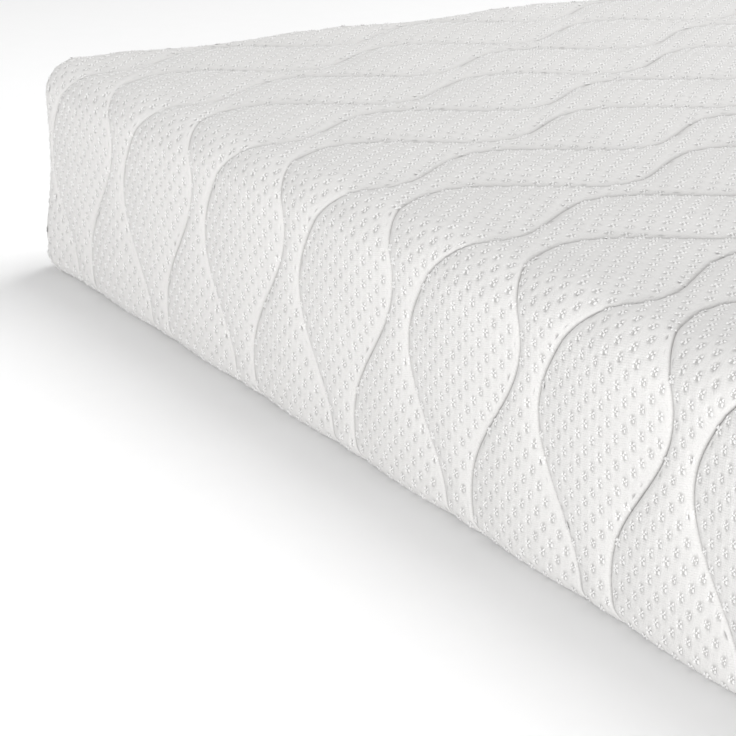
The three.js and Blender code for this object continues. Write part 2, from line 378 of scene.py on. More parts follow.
TOP_LINES = lines_across(-HALF_X, HALF_X)
left_lines = lines_across(-HALF_X - DEPTHS[-1], -HALF_X)
right_lines = lines_across(HALF_X, HALF_X + DEPTHS[-1])
side_gaps = max(left_lines[1] - left_lines[0], right_lines[1] - right_lines[0])
SIDE_LINES = {"left": (left_lines[1] - side_gaps, left_lines[1]),
              "right": (right_lines[0], right_lines[0] + side_gaps)}
side_count = column_count(0, side_gaps)
CLOSENESS = np.array([0.8, 1.6, 1.0, 2.2, 0.5])  # of the columns, for each stretch of the section


def spread_depths(count):
    """Depths from the centre line to the hem's edge, closest where the cloth turns."""
    weight = CLOSENESS * STRETCHES
    share = np.cumsum([0, *weight]) / weight.sum()
    return np.interp(np.linspace(0, 1, count), share, DEPTHS)


side_depths = spread_depths(side_count)
print("rows on top", len(top_rows), "columns down a side", side_count)

# %% Build the skin as one welded grid
skin_points, skin_facing, skin_uv, skin_faces = [], [], [], []


def add_grid(points, facing, u, v, flip):
    """Adds a rectangular grid of points to the skin."""
    start = sum(len(p) for p in skin_points)
    rows, columns = u.shape
    skin_points.append(points.reshape(-1, 3))
    skin_facing.append(facing.reshape(-1, 3))
    skin_uv.append(np.stack([u.ravel(), v.ravel()], 1))
    i = start + np.arange(rows * columns).reshape(rows, columns)
    quads = np.stack([i[:-1, :-1], i[:-1, 1:], i[1:, 1:], i[1:, :-1]], -1).reshape(-1, 4)
    skin_faces.append(quads[:, ::-1] if flip else quads)


def on_top(u, v):
    """World points and outward directions on the top."""
    points = np.stack([u, v, np.full(u.shape, HEIGHT)], -1)
    return points, points * 0 + np.array([0.0, 0.0, 1.0])


def add_top():
    v = top_rows[:, None]
    edge = HALF_X * np.ones_like(v)
    u = keep_between(column_places(*TOP_LINES, v), -edge, edge)
    v = np.broadcast_to(v, u.shape)
    add_grid(*on_top(u, v), u, v, flip=False)


def add_end(name):
    depth = side_depths[:, None]
    v = SIDES[name][1](0.0, depth)[1]
    edge = HALF_X + seam_reach(depth)
    along = keep_between(column_places(*TOP_LINES, v), -edge, edge)
    points, facing, u, v = to_world(name, along, np.broadcast_to(depth, along.shape))
    add_grid(points, facing, u, v, flip=name == "foot")


FAN = [0.14, 0.28, 0.42, 0.56, 0.7, 0.85]     # rows on the corner's curve, before the seam
BEFORE_FAN = 3              # rows of the straight part that already ease towards the seam's depths
SETTLE = 4                  # rounds until the places along a side and their depths agree


def add_side(name):
    sign = -1 if name == "left" else 1
    lines = SIDE_LINES[name]
    fan = np.array([*FAN, 1.0])
    base = np.concatenate([-HALF_Y + 0 * fan, top_rows, HALF_Y + 0 * fan])[:, None]
    share = np.concatenate([-fan[::-1], 0 * top_rows, fan])[:, None]
    along = base + share * seam_reach(CORNER_R)
    deepest = DEPTHS[-1] * np.ones_like(base)
    rows_in = np.minimum(np.arange(len(base)), np.arange(len(base))[::-1])
    ease = np.clip(1 - rows_in / (len(FAN) + BEFORE_FAN), 0, 1)[:, None]
    ease = ease * ease * (3 - 2 * ease)       # 1 at the seam, which shares its points with the end
    for _ in range(SETTLE):
        places = column_places(*lines, along)
        depth = sign * places - HALF_X
        depth = keep_between(depth[:, ::sign], 0 * deepest, deepest)
        depth = depth + (side_depths - depth) * ease
        along = (base + share * seam_reach(depth))[:, ::sign]
    along = base + share * seam_reach(depth)
    points, facing, u, v = to_world(name, along, depth)
    add_grid(points, facing, u, v, flip=name == "left")


add_top()
for end_name in ("foot", "head"):
    add_end(end_name)
for side_name in ("left", "right"):
    add_side(side_name)
skin = (skin_points, skin_facing, skin_uv, skin_faces)
skin_points, skin_facing, skin_uv, skin_faces = map(np.concatenate, skin)
print("skin grid:", len(skin_points), "points", len(skin_faces), "faces")

# %% [markdown]
# ## Opening the zip's channel
# On both long sides and at the head end a zip runs in a narrow channel between the upper cloth and
# a band below it. The sheet is cut along the channel's edges before it swells, so the cuts stay
# straight, and each raw edge is turned in.

# %% Weld the sheet and cut the channel
ZIP_MIDDLE = sum(end[2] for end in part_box("zip_slider")) / 2
ZIP_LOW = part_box("lower_band_knit")[1][2]
ZIP_HIGH = 2 * ZIP_MIDDLE - ZIP_LOW
ZIP_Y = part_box("lower_band_knit")[0][1]
TURN_IN = 8.2 * MM          # how far the raw edges are turned in
TURN_STEPS = (0.3, 0.7)     # in two steps
WELD = 0.01 * MM


def sheet_mesh():
    """The whole sheet as a mesh with its flat coordinates as a UV map."""
    thing = mesh_object("quilted_cover", skin_points, skin_faces)
    mesh = thing.data
    corners = np.empty(len(mesh.loops), int)
    mesh.loops.foreach_get("vertex_index", corners)
    mesh.uv_layers.new(name="cloth").data.foreach_set("uv", skin_uv[corners].ravel())
    edge, room = nearest_line(skin_uv[:, 0], skin_uv[:, 1])
    for name, values in (("facing", skin_facing), ("edge", edge), ("room", room)):
        store(mesh, name, values)
    return thing


def cut_channel(bm):
    """Cuts the channel out of the sheet."""
    def beside(face):
        return face.calc_center_median().z < ZIP_HIGH + ROW and max(v.co.y for v in face.verts) > ZIP_Y

    up, along = (0, 0, 1), (0, 1, 0)
    for place, direction in (((0, 0, ZIP_HIGH), up), ((0, 0, ZIP_LOW), up), ((0, ZIP_Y, 0), along)):
        faces = [f for f in bm.faces if beside(f)]
        parts = list(dict.fromkeys(x for f in faces for x in (*f.verts, *f.edges))) + faces
        bmesh.ops.bisect_plane(bm, geom=parts, plane_co=place, plane_no=direction, dist=1e-6)
    middles = [(face, face.calc_center_median()) for face in bm.faces]
    gone = [face for face, middle in middles if ZIP_LOW < middle.z < ZIP_HIGH and middle.y > ZIP_Y]
    bmesh.ops.delete(bm, geom=gone, context="FACES")


def turn_in(bm):
    """Turns the raw edges of the channel inwards."""
    facing = bm.verts.layers.float_vector["facing"]
    raw = [e for e in bm.edges if e.is_boundary and min(v.co.z for v in e.verts) > ZIP_LOW - 1e-5]
    for share in TURN_STEPS:
        new = bmesh.ops.extrude_edge_only(bm, edges=raw)["geom"]
        raw = [x for x in new if isinstance(x, bmesh.types.BMEdge)]
        for vert in {v for e in raw for v in e.verts}:
            vert.co -= vert[facing] * TURN_IN * share
        raw = [e for e in raw if e.is_boundary]


cover = sheet_mesh()
bm = bmesh.new()
bm.from_mesh(cover.data)
bmesh.ops.remove_doubles(bm, verts=bm.verts, dist=WELD)
cut_channel(bm)
turn_in(bm)
bm.to_mesh(cover.data)
bm.free()
print("sheet after the channel is cut:", len(cover.data.polygons), "faces")

# %% [markdown]
# ## Swelling the cloth with Geometry Nodes
# The wadding fills each leaf between the lines, and the thread holds it down. That is one rule for
# every point: how far it is from the nearest line, and how much room the leaf has there. A node
# tree states the rule once, with its sizes as inputs, and moves each point along its own facing.

# %% Geometry Nodes helper
class Tree(Nodes):
    """A Geometry Nodes tree with named inputs, for a modifier."""

    def __init__(self, name, **inputs):
        self.tree = bpy.data.node_groups.new(name, "GeometryNodeTree")
        self.values = inputs
        kinds = {float: "Float", int: "Int", bpy.types.Object: "Object", bpy.types.Material: "Material"}
        sockets = [("Geometry", "INPUT", "Geometry")]
        for label, value in inputs.items():
            sockets.append((label.replace("_", " "), "INPUT", kinds[type(value)]))
        for label, way, kind in (*sockets, ("Geometry", "OUTPUT", "Geometry")):
            self.tree.interface.new_socket(label, in_out=way, socket_type=f"NodeSocket{kind}")
        self.start = self.tree.nodes.new("NodeGroupInput")
        self.end = self.tree.nodes.new("NodeGroupOutput")
        self.geometry = self.value("Geometry")

    def value(self, label):
        return Wire(self.tree, self.start.outputs[label.replace("_", " ")])

    def attribute(self, name, kind="FLOAT"):
        return out(self.node("GeometryNodeInputNamedAttribute", {"data_type": kind}, Name=name))

    def direction(self, name):
        return self.attribute(name, "FLOAT_VECTOR")

    def random(self, least, most):
        """A number between the two for every point."""
        node = self.node("FunctionNodeRandomValue", {"data_type": "FLOAT"}, Seed=self.value("Seed"))
        plug(self.tree, node.inputs[2], least)
        plug(self.tree, node.inputs[3], most)
        return out(node, 1)

    def finish(self, geometry):
        """Ends the tree in Realize Instances and Set Material."""
        real = self.node("GeometryNodeRealizeInstances", Geometry=geometry)
        made = self.node("GeometryNodeSetMaterial", Geometry=out(real), Material=self.value("Material"))
        self.tree.links.new(made.outputs[0], self.end.inputs[0])

    def apply(self, thing):
        """Runs the tree on an object and keeps the result as its plain mesh."""
        modifier = thing.modifiers.new(self.tree.name, "NODES")
        modifier.node_group = self.tree
        for item in self.tree.interface.items_tree:
            label = item.name.replace(" ", "_")
            if item.in_out == "INPUT" and label in self.values:
                modifier[item.identifier] = self.values[label]
        bpy.context.view_layer.update()
        view = thing.evaluated_get(bpy.context.evaluated_depsgraph_get())
        mesh = bpy.data.meshes.new_from_object(view)
        thing.modifiers.remove(modifier)
        old, thing.data = thing.data, mesh
        bpy.data.meshes.remove(old)
        mesh.name = thing.name
        smooth(mesh)


# %% [markdown]
# ## The knit
# The cover is a double-faced knit: fine loops with small tufts where the two faces are tied. The
# loops are too fine to model, so they are a bump; the tufts are modelled further down, and here
# the cloth only dips a little under them, as the ties pull it in. Painted shade darkens it a little
# in those pits and along the creases at the stitch lines.

# %% Knit material
TUFT_ACROSS, TUFT_ALONG = 11.4 * MM, 12.9 * MM   # the tufts' cell, with one more in its middle
LOOP = 1.5 * MM                                  # pitch of the knit loops
TUFT_CLEAR = 2.2 * MM                            # no tuft nearer to a stitch line than this
DIP, PIT, RIB, FUZZ, SAG = 0.55 * MM, 0.45 * MM, 0.07 * MM, 0.25 * MM, 1.6 * MM    # heights of the bump
# KNIT_DARK is the colour of the painted shade in the creases and pits, and of the fibres' darker tone
KNIT_LIGHT, KNIT_DARK = (0.620, 0.613, 0.605), (0.27, 0.264, 0.258)


def tuft_distance(u, v):
    """Distance to the nearest tuft, with the way along the cloth counted for less."""
    reaches = []
    for shift in (0.0, 0.5):
        x = ((u / TUFT_ACROSS + shift + 100.5).fraction() - 0.5) * TUFT_ACROSS
        y = ((v / TUFT_ALONG + shift + 100.5).fraction() - 0.5) * TUFT_ALONG
        reaches.append((x * x + y * y * 0.5).root())
    return reaches[0].least(reaches[1])


def knit_material():
    look = Look("double_knit")
    uv = out(look.node("ShaderNodeUVMap", {"uv_map": "cloth"}))
    u, v, _ = look.parts(uv)
    near = tuft_distance(u, v)
    edge = out(look.node("ShaderNodeAttribute", {"attribute_name": "edge"}), "Fac")
    tufted = edge.step(TUFT_CLEAR + 0.2 * MM, TUFT_CLEAR + 1.6 * MM)
    # painted shade: the cloth is coloured darker right at each stitch line, as the shade in its crease
    crease_shade = 1.0 - edge.step(0.25 * MM, 1.1 * MM)
    dip = (1.0 - near.step(0.6 * MM, 3.6 * MM)) * tufted
    # the pit dips the cloth as a bump and is also painted shade: darker colour round each tuft's middle
    pit_and_shade = (1.0 - near.step(0.8 * MM, 2.3 * MM)) * tufted
    turn = 2 * math.pi / LOOP
    rib = ((u + v * 0.35) * turn).sine() * 0.5 + ((v - u * 0.2) * (turn * 1.3)).sine() * 0.35
    soft, slow = look.noise(uv, 900.0, 2.0), look.noise(uv, 22.0, 3.0)
    height = rib * RIB + soft * FUZZ - dip * DIP - pit_and_shade * PIT + slow * SAG
    # painted shade in the pits and at the stitch lines, plus the fibres' own uneven tone
    shade = (pit_and_shade * 0.5 + crease_shade * 0.7 + (1.0 - soft) * 0.14).clamp()
    return look.finish(shade, KNIT_LIGHT, KNIT_DARK, height, Roughness=0.78 + soft * 0.12,
                       Sheen_Weight=0.12, Sheen_Roughness=0.5, Specular_IOR_Level=0.25)


knit = knit_material()

# %% Swell the sheet
def quilt_tree():
    tree = Tree("Quilt swell", Puff=PUFF, Reference_room=PUFF_REF, Sink=SINK, Sink_width=SINK_W,
                Proud=PROUD, Floor_gap=FLOOR_GAP, Calm_height=CALM_HEIGHT, Calm_share=CALM_SHARE,
                Calm_level=CALM_LEVEL, Material=knit)
    edge, room = tree.attribute("edge"), tree.attribute("room")
    share = (edge / room).least(1.0)
    arch = (1.0 - (1.0 - share) ** 2.0) ** ROUNDNESS
    level = tree.value("Puff") * (room / tree.value("Reference_room")).root()
    pull = 1.0 - (edge / tree.value("Sink_width")).least(1.0)
    rise = level * arch - tree.value("Sink") * pull * pull - tree.value("Puff") + tree.value("Proud")
    x, y, z = tree.parts(out(tree.node("GeometryNodeInputPosition")))
    calm = (1.0 - z / tree.value("Calm_height")).clamp()
    calm = calm * calm * (3.0 - calm * 2.0) * tree.value("Calm_share")
    rise = rise + (tree.value("Calm_level") - rise) * calm
    offset = tree.node("ShaderNodeVectorMath", {"operation": "SCALE"}, Vector=tree.direction("facing"),
                       Scale=rise)
    moved = tree.node("GeometryNodeSetPosition", Geometry=tree.geometry, Offset=out(offset))
    lifted = tree.node("ShaderNodeCombineXYZ", X=x, Y=y, Z=z.most(tree.value("Floor_gap")))
    rested = tree.node("GeometryNodeSetPosition", Geometry=out(moved), Position=out(lifted))
    tree.finish(out(rested))
    return tree


quilt_tree().apply(cover)
hand_over(cover, "cover_knit", "upper_cover_knit", "lower_band_knit", "upper_cover_wadding",
          "lower_band_wadding")
print("cover:", len(cover.data.polygons), "faces, height", round(cover.dimensions.z, 4))

# %% [markdown]
# ## Tufts
# Where the knit's two faces are tied, short loops of thread stand up in a small pit: four round a
# fifth. One tuft is a few faces; Geometry Nodes drops thousands of them onto the swollen cloth: each starts
# just outside the cover, falls along a ray and turns to the cloth.

# %% One tuft
TUFT_RISE = 0.8 * MM
BURIED = 0.15 * MM
CORNERS = ((1, -1), (1, 1), (-1, 1), (-1, -1))


def bump_mesh(bumps, rise):
    """Low bumps of four faces each, given as (x, y, half width, half length)."""
    points, faces = [], []
    for x, y, half_x, half_y in bumps:
        start = len(points)
        points += [(x + a * half_x, y + b * half_y, -BURIED) for a, b in CORNERS]
        points.append((x, y, rise))
        faces += [(start + i, start + (i + 1) % 4, start + 4) for i in range(4)]
    return points, faces


def tuft_mesh():
    loops = [(-1.35, -1.0, 0.5, 0.8), (-1.1, 0.9, 0.45, 0.9), (1.3, -0.7, 0.5, 1.0),
             (1.25, 1.35, 0.45, 0.7), (0.1, 0.25, 0.4, 0.55)]
    return bump_mesh(np.array(loops) * MM, TUFT_RISE)


def thread_material(name, light, dark):
    look = Look(name)
    soft = look.noise(look.where(), 1400.0, 1.0)
    return look.finish(soft, light, dark, soft * (0.15 * MM), Roughness=0.5 + soft * 0.1, Sheen_Weight=0.1)


thread = thread_material("tuft_thread", (0.77, 0.765, 0.76), (0.66, 0.655, 0.65))
# the quilting thread is darker than the tuft thread: partly its own tone, partly painted shade of the groove
# it lies in
groove_shaded_thread = thread_material("quilting_thread", (0.60, 0.59, 0.58), (0.46, 0.455, 0.45))

# %% Where the tufts start
ABOVE = 6 * MM              # where each starts, over the cloth
SEAM_CLEAR = 1.2 * MM       # from an upright corner's seam
DEEPEST = DEPTHS[3] + 0.6 * STRETCHES[3]        # none further round the bottom edge


def lattice(half_u, half_v):
    """Staggered tuft places on the flat cloth, out to a distance from its middle each way."""
    places = []
    for shift in (0.0, 0.5):
        i, j = (np.arange(math.ceil(-half / cell), math.floor(half / cell))
                for half, cell in ((half_u, TUFT_ACROSS), (half_v, TUFT_ALONG)))
        grid = np.meshgrid((i + shift) * TUFT_ACROSS, (j + shift) * TUFT_ALONG, indexing="ij")
        places.append(np.stack(grid, -1).reshape(-1, 2))
    return np.concatenate(places).T


def on_cloth(name, u, v):
    """World points and outward directions on one patch of the cover, and which of them lie in it."""
    if name == "top":
        return *on_top(u, v), (np.abs(u) <= HALF_X) & (np.abs(v) <= HALF_Y)
    half = SIDES[name][0]
    sign = 1 if name in ("head", "right") else -1
    along, depth = (u, sign * v - HALF_Y) if name in ("foot", "head") else (v, sign * u - HALF_X)
    points, facings, _, _ = to_world(name, along, depth)
    inside = (depth > 0) & (depth < DEEPEST) & (np.abs(along) < half + seam_reach(depth) - SEAM_CLEAR)
    return points, facings, inside


def cloth_seeds(u, v, along_u, along_v):
    """Points on every patch of the cover, the way it faces and one direction of the cloth there."""
    step = 0.1 * MM
    rows = []
    for name in ("top", *SIDES):
        points, facings, inside = on_cloth(name, u, v)
        nearby = on_cloth(name, u + along_u * step, v + along_v * step)[0]
        rows.append(np.concatenate([points, facings, (nearby - points) / step], -1)[inside])
    rows = np.concatenate(rows)
    return rows[:, :3], rows[:, 3:6], rows[:, 6:]


# %% The tree that sows them
def land(tree):
    """Drops each point along its inward direction onto the cloth; those that miss it go."""
    cloth = tree.node("GeometryNodeObjectInfo", Object=tree.value("Cloth"))
    ray = tree.node("GeometryNodeRaycast", Target_Geometry=out(cloth, "Geometry"),
                    Ray_Direction=tree.direction("inward"), Ray_Length=tree.value("Reach"))
    missed = tree.node("FunctionNodeBooleanMath", {"operation": "NOT"}, Boolean=out(ray, "Is Hit"))
    points = tree.geometry
    for label, result in (("facing", "Hit Normal"), ("landed", "Hit Position")):
        points = out(tree.node("GeometryNodeStoreNamedAttribute", {"data_type": "FLOAT_VECTOR"},
                               Geometry=points, Name=label, Value=out(ray, result)))
    kept = tree.node("GeometryNodeDeleteGeometry", Geometry=points, Selection=out(missed))
    return tree.node("GeometryNodeSetPosition", Geometry=out(kept), Position=tree.direction("landed"))


def sowing_tree(name, piece, material, on=None, turn=0.0, spread=0.0):
    """Puts a copy of the piece on every point. With a cloth, each point first falls onto it."""
    values = {"Piece": piece, "Least_size": 1.0 - spread, "Most_size": 1.0 + spread, "Turn": turn,
              "Seed": 3, "Material": material}
    if on:
        values |= {"Cloth": on, "Reach": 2 * ABOVE + PUFF + SINK}
    tree = Tree(name, **values)
    points = out(land(tree)) if on else tree.geometry
    turned = tree.node("FunctionNodeAxesToRotation", {"primary_axis": "Z", "secondary_axis": "X"})
    for socket, label in zip(turned.inputs, ("facing", "along")):
        plug(tree.tree, socket, tree.direction(label))
    angle = tree.random(tree.value("Turn") * -1.0, tree.value("Turn"))
    about = tree.node("ShaderNodeCombineXYZ", Z=angle)
    spin = tree.node("FunctionNodeRotateRotation", {"rotation_space": "LOCAL"}, Rotation=out(turned))
    plug(tree.tree, spin.inputs[1], out(about))
    size = tree.random(tree.value("Least_size"), tree.value("Most_size"))
    info = tree.node("GeometryNodeObjectInfo", Object=tree.value("Piece"))
    placed = tree.node("GeometryNodeInstanceOnPoints", Points=points, Instance=out(info, "Geometry"),
                       Rotation=out(spin), Scale=size)
    tree.finish(out(placed))
    return tree


def sow(name, pattern, material, seeds, slot, *nodes, on=None, **options):
    """One piece made of many copies of a pattern, which is (points, faces). Seeds are (points,
    facings, alongs)."""
    points, facings, alongs = seeds
    sown = mesh_object(name, points + facings * (ABOVE if on else 0.0), [])
    for label, values in (("facing", facings), ("inward", -facings), ("along", alongs)):
        store(sown.data, label, values)
    piece = mesh_object("pattern", *pattern)
    sowing_tree(f"Sow {name}", piece, material, on, **options).apply(sown)
    bpy.data.objects.remove(piece)
    hand_over(sown, slot, *nodes)


# %% Sow the tufts
TUFT_PIECES = 5
u, v = lattice(HALF_X + DEPTHS[-1], HALF_Y + DEPTHS[-1])
clear = nearest_line(u, v)[0] > TUFT_CLEAR
seeds = cloth_seeds(u[clear], v[clear], 1.0, 0.0)
part_of = np.clip(((seeds[0][:, 1] / LENGTH + 0.5) * TUFT_PIECES).astype(int), 0, TUFT_PIECES - 1)
for number in range(TUFT_PIECES):
    mine = [values[part_of == number] for values in seeds]
    name = f"knit_tufts_{number + 1}"
    sow(name, tuft_mesh(), thread, mine, "cover_knit", on=cover, turn=0.22, spread=0.15)
print("tufts:", len(seeds[0]))

# %% [markdown]
# ## Stitches
# The machine's thread lies at the bottom of every line: one short stitch after another.

# %% Sow the stitches
STITCH = 5.5 * MM           # from one stitch to the next
STITCH_LINES = np.arange(TOP_LINES[0] - 4, TOP_LINES[1] + 5)


def stitch_mesh(length, width, rise):
    """Three bumps in a row."""
    bumps = [(place * length, 0.0, 0.16 * length, width / 2) for place in (-0.32, 0.0, 0.32)]
    return bump_mesh(bumps, rise)


def line_seeds():
    v = np.arange(-HALF_Y - DEPTHS[-1], HALF_Y + DEPTHS[-1], STITCH)
    line, v = (grid.ravel() for grid in np.meshgrid(STITCH_LINES, v, indexing="ij"))
    u = line_place(line, v)
    slope = (line_place(line, v + MM) - u) / MM
    share = 1 / np.sqrt(1 + slope * slope)
    return cloth_seeds(u, v, slope * share, share)


seeds = line_seeds()
stitch = stitch_mesh(4.4 * MM, 0.6 * MM, 0.16 * MM)
sow("quilting_stitches", stitch, groove_shaded_thread, seeds, "cover_knit", on=cover, spread=0.06)
print("stitches:", len(seeds[0]))

# %% [markdown]
# ## Cloths, metal and foam
# Most other parts keep the frame's own shape and only need a finish. A weave is two crossed waves
# that take turns; a foam is a field of small open cells; a cast metal has soft, uneven polish.

# %% Finishes
def weave_material(name, light, dark, pitch, roughness=0.85, sheen=0.15):
    """A plain weave whose threads run along the cloth, whichever way it stands."""
    look = Look(name)
    where = look.where()
    x, y, z = look.parts(where)
    turn = 2 * math.pi / pitch
    warp = ((x + y) * turn).sine()
    weft = ((x - y + z * 2.0) * (turn * 0.5)).sine()
    over = (warp * weft * 0.5 + 0.5).clamp()
    fibre, wear = look.noise(where, 1600.0, 2.0), look.noise(where, 14.0, 3.0)
    shade = (over * 0.6 + fibre * 0.25 + wear * 0.2).clamp()
    return look.finish(shade, dark, light, over * (0.22 * MM) + fibre * (0.1 * MM),
                       Roughness=roughness + fibre * 0.1 - 0.05, Sheen_Weight=sheen, Specular_IOR_Level=0.3)


def metal_material(name, light, dark, roughness):
    look = Look(name)
    where = look.where()
    cloud, grain = look.noise(where, 260.0, 4.0), look.noise(where, 2400.0, 2.0)
    return look.finish(cloud.step(0.35, 0.7), dark, light, cloud * (0.05 * MM) + grain * (0.02 * MM),
                       Roughness=roughness + cloud * 0.16 - 0.08, Metallic=1.0)


def plastic_material(name, light, dark, roughness):
    look = Look(name)
    cloud = look.noise(look.where(), 700.0, 2.0)
    return look.finish(cloud, dark, light, cloud * (0.05 * MM), Roughness=roughness + cloud * 0.12)


def foam_material(name, light, dark, cell, hole_shade):
    """Open cells: a web of bright walls round small holes, painted dark as the shade inside them."""
    look = Look(name)
    where = look.where()
    cells, large = (out(look.node("ShaderNodeTexVoronoi", Vector=where, Scale=share / cell), "Distance")
                    for share in (1.0, 0.24))
    # painted shade: the cells' holes and the larger vents are coloured darker, as the shade inside them; the
    # stain is the foam's own tone
    hole = 1.0 - cells.step(0.08, 0.42)
    vent = 1.0 - large.step(0.03, 0.16)
    stain = look.noise(where, 9.0, 4.0).step(0.4, 0.75)
    shade = (hole * hole_shade + vent * 0.5 + stain * 0.25).clamp()
    return look.finish(shade, light, dark, (hole + vent * 1.5) * (-0.35 * MM), Roughness=0.86 + hole * 0.1,
                       Specular_IOR_Level=0.2)


def finish_nodes(material, *names):
    """Gives CAD nodes a finish, with their flat faces left flat."""
    for name in names:
        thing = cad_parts[name]
        thing.data.materials.clear()
        thing.data.materials.append(material)


def soften_edges(width, *names):
    """Rounds the edges of cast metal with a modifier; the CAD mesh itself stays as it is."""
    for name in names:
        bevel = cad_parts[name].modifiers.new("soft_edges", "BEVEL")
        bevel.width, bevel.segments, bevel.limit_method = width, 2, "ANGLE"
        bevel.harden_normals = True


tape_cloth = weave_material("zip_tape_cloth", (0.78, 0.775, 0.765), (0.52, 0.515, 0.505), 0.9 * MM)
lining_cloth = weave_material("lining_cloth", (0.80, 0.79, 0.775), (0.60, 0.59, 0.575), 1.3 * MM, sheen=0.25)
binding_cloth = weave_material("binding_cloth", (0.74, 0.735, 0.725), (0.50, 0.495, 0.485), 1.1 * MM)
sleeve_cloth = weave_material("sleeve_jersey", (0.80, 0.79, 0.77), (0.62, 0.61, 0.59), 1.0 * MM, sheen=0.3)
label_satin = weave_material("label_satin", (0.84, 0.835, 0.825), (0.72, 0.715, 0.70), 0.5 * MM, 0.42)
base_cloth = weave_material("base_cloth", (0.66, 0.66, 0.655), (0.40, 0.40, 0.395), 1.6 * MM, 0.9)
grip = plastic_material("grip_dots", (0.30, 0.32, 0.35), (0.20, 0.22, 0.25), 0.42)
zip_plastic = plastic_material("zip_coil_plastic", (0.82, 0.815, 0.80), (0.68, 0.675, 0.66), 0.34)
zip_nickel = metal_material("zip_nickel", (0.74, 0.73, 0.71), (0.52, 0.515, 0.505), 0.30)
METAL = ("zip_slider", "zip_pull", "zip_stop_left", "zip_stop_right")
finish_nodes(tape_cloth, "zip_tape_lower", "zip_tape_upper", "zip_end_tab_left", "zip_end_tab_right")
finish_nodes(lining_cloth, "upper_cover_backing", "sleeve_end_flap")
finish_nodes(binding_cloth, "base_binding", "foot_seam_tape_left", "foot_seam_tape_right",
             "head_seam_tape_left", "head_seam_tape_right")
finish_nodes(label_satin, "care_label")
finish_nodes(zip_nickel, *METAL)
soften_edges(0.22 * MM, *METAL)

# %% [markdown]
# ## The core
# Three foam layers lie in a jersey sleeve. Each is a soft-edged block: a box of small faces whose
# upright corners and long edges are both rounded, and whose sides give a little, as cut foam does.

# %% Soft-edged blocks
def spaced(low, high, radius, pitch):
    """Places from low to high: close together in each rounded end, then one every pitch."""
    ends = radius * np.array([0.0, 0.3, 0.55, 0.8])
    count = max(2, int((high - low - 2 * radius) / pitch) + 1)
    return np.concatenate([low + ends, np.linspace(low + radius, high - radius, count), high - ends[::-1]])


def box_grid(xs, ys, zs):
    """All six faces of a box as one closed mesh of quads, normals outward."""
    points, faces, start = [], [], 0
    for axis, (first, second) in enumerate(((1, 2), (2, 0), (0, 1))):
        spans = (xs, ys, zs)
        for end in (0, -1):
            a, b = np.meshgrid(spans[first], spans[second], indexing="ij")
            grid = np.empty((*a.shape, 3))
            grid[..., axis], grid[..., first], grid[..., second] = spans[axis][end], a, b
            i = start + np.arange(a.size).reshape(a.shape)
            quads = np.stack([i[:-1, :-1], i[1:, :-1], i[1:, 1:], i[:-1, 1:]], -1).reshape(-1, 4)
            faces.append(quads if end else quads[:, ::-1])
            points.append(grid.reshape(-1, 3))
            start += a.size
    points, faces = np.concatenate(points), np.concatenate(faces)
    places = np.round(points / (0.001 * MM))
    _, kept, same = np.unique(places, axis=0, return_index=True, return_inverse=True)
    return points[kept], same.ravel()[faces]


def round_off(points, low, high, plan_r, edge_r):
    """Rounds the upright corners to plan_r and the top and bottom edges to edge_r."""
    middle, half = (low + high) / 2, (high - low) / 2
    flat = points[:, :2] - middle[:2]
    core = np.clip(flat, plan_r - half[:2], half[:2] - plan_r)
    past = flat - core
    out_by = np.abs(past).max(1)
    way = past / np.maximum(np.linalg.norm(past, axis=1), 1e-12)[:, None]
    z = points[:, 2] - middle[2]
    keep_out = np.minimum(out_by, plan_r - edge_r)
    keep_z = np.clip(z, edge_r - half[2], half[2] - edge_r)
    rest = np.stack([out_by - keep_out, z - keep_z], -1)
    shrink = np.abs(rest).max(1) / np.maximum(np.linalg.norm(rest, axis=1), 1e-12)
    reach, height = keep_out + rest[:, 0] * shrink, keep_z + rest[:, 1] * shrink
    return np.column_stack([core + way * reach[:, None], height]) + middle


def rounded_box(low, high, plan_r, edge_r, pitch):
    grids = [spaced(low[i], high[i], edge_r if i == 2 else plan_r, pitch) for i in range(3)]
    points, faces = box_grid(*grids)
    return round_off(points, low, high, plan_r, edge_r), faces


def soft_block(name, node, plan_r, edge_r, pitch, give, material, slot):
    """A block in a node's place whose faces give by up to `give` in slow, uneven waves."""
    low, high = (np.array(end, float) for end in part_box(node))
    points, faces = rounded_box(low, high, plan_r, edge_r, pitch)
    x, y, z = points.T
    wave = (np.sin(x * 17 + 1.3) * np.sin(y * 11 + 0.4) + 0.6 * np.sin(x * 41 + y * 29 + z * 60)) / 1.6
    middle = (low + high) / 2
    inward = np.sign(middle - points) * (np.abs(points - middle) > (high - low) / 2 - edge_r)
    points = points + inward * (give * (0.5 + 0.5 * wave))[:, None]
    block = mesh_object(name, points, faces, material)
    hand_over(block, slot, node)


FOAM_R, FOAM_PITCH = 20 * MM, 28 * MM
FOAMS = [
    # node, edge radius, give, colours of wall and of the painted shade in the holes, cell, how strongly the
    # holes are painted dark as shade
    ("memory_foam", 6 * MM, 0.6 * MM, (0.80, 0.76, 0.66), (0.56, 0.50, 0.40), 0.9 * MM, 0.45),
    ("transition_foam", 2 * MM, 0.5 * MM, (0.62, 0.70, 0.74), (0.38, 0.46, 0.52), 1.3 * MM, 0.55),
    ("support_foam", 4 * MM, 0.5 * MM, (0.82, 0.815, 0.80), (0.58, 0.575, 0.56), 1.6 * MM, 0.6),
]
for node, edge_r, give, light, dark, cell, hole_shade in FOAMS:
    foam = foam_material(f"{node}_cells", light, dark, cell, hole_shade)
    soft_block(f"{node}_layer", node, FOAM_R, edge_r, FOAM_PITCH, give, foam, node)
soft_block("jersey_sleeve", "core_sleeve", 21 * MM, 9 * MM, 14 * MM, 0.3 * MM, sleeve_cloth, "sleeve")
print("foam layers and sleeve made")

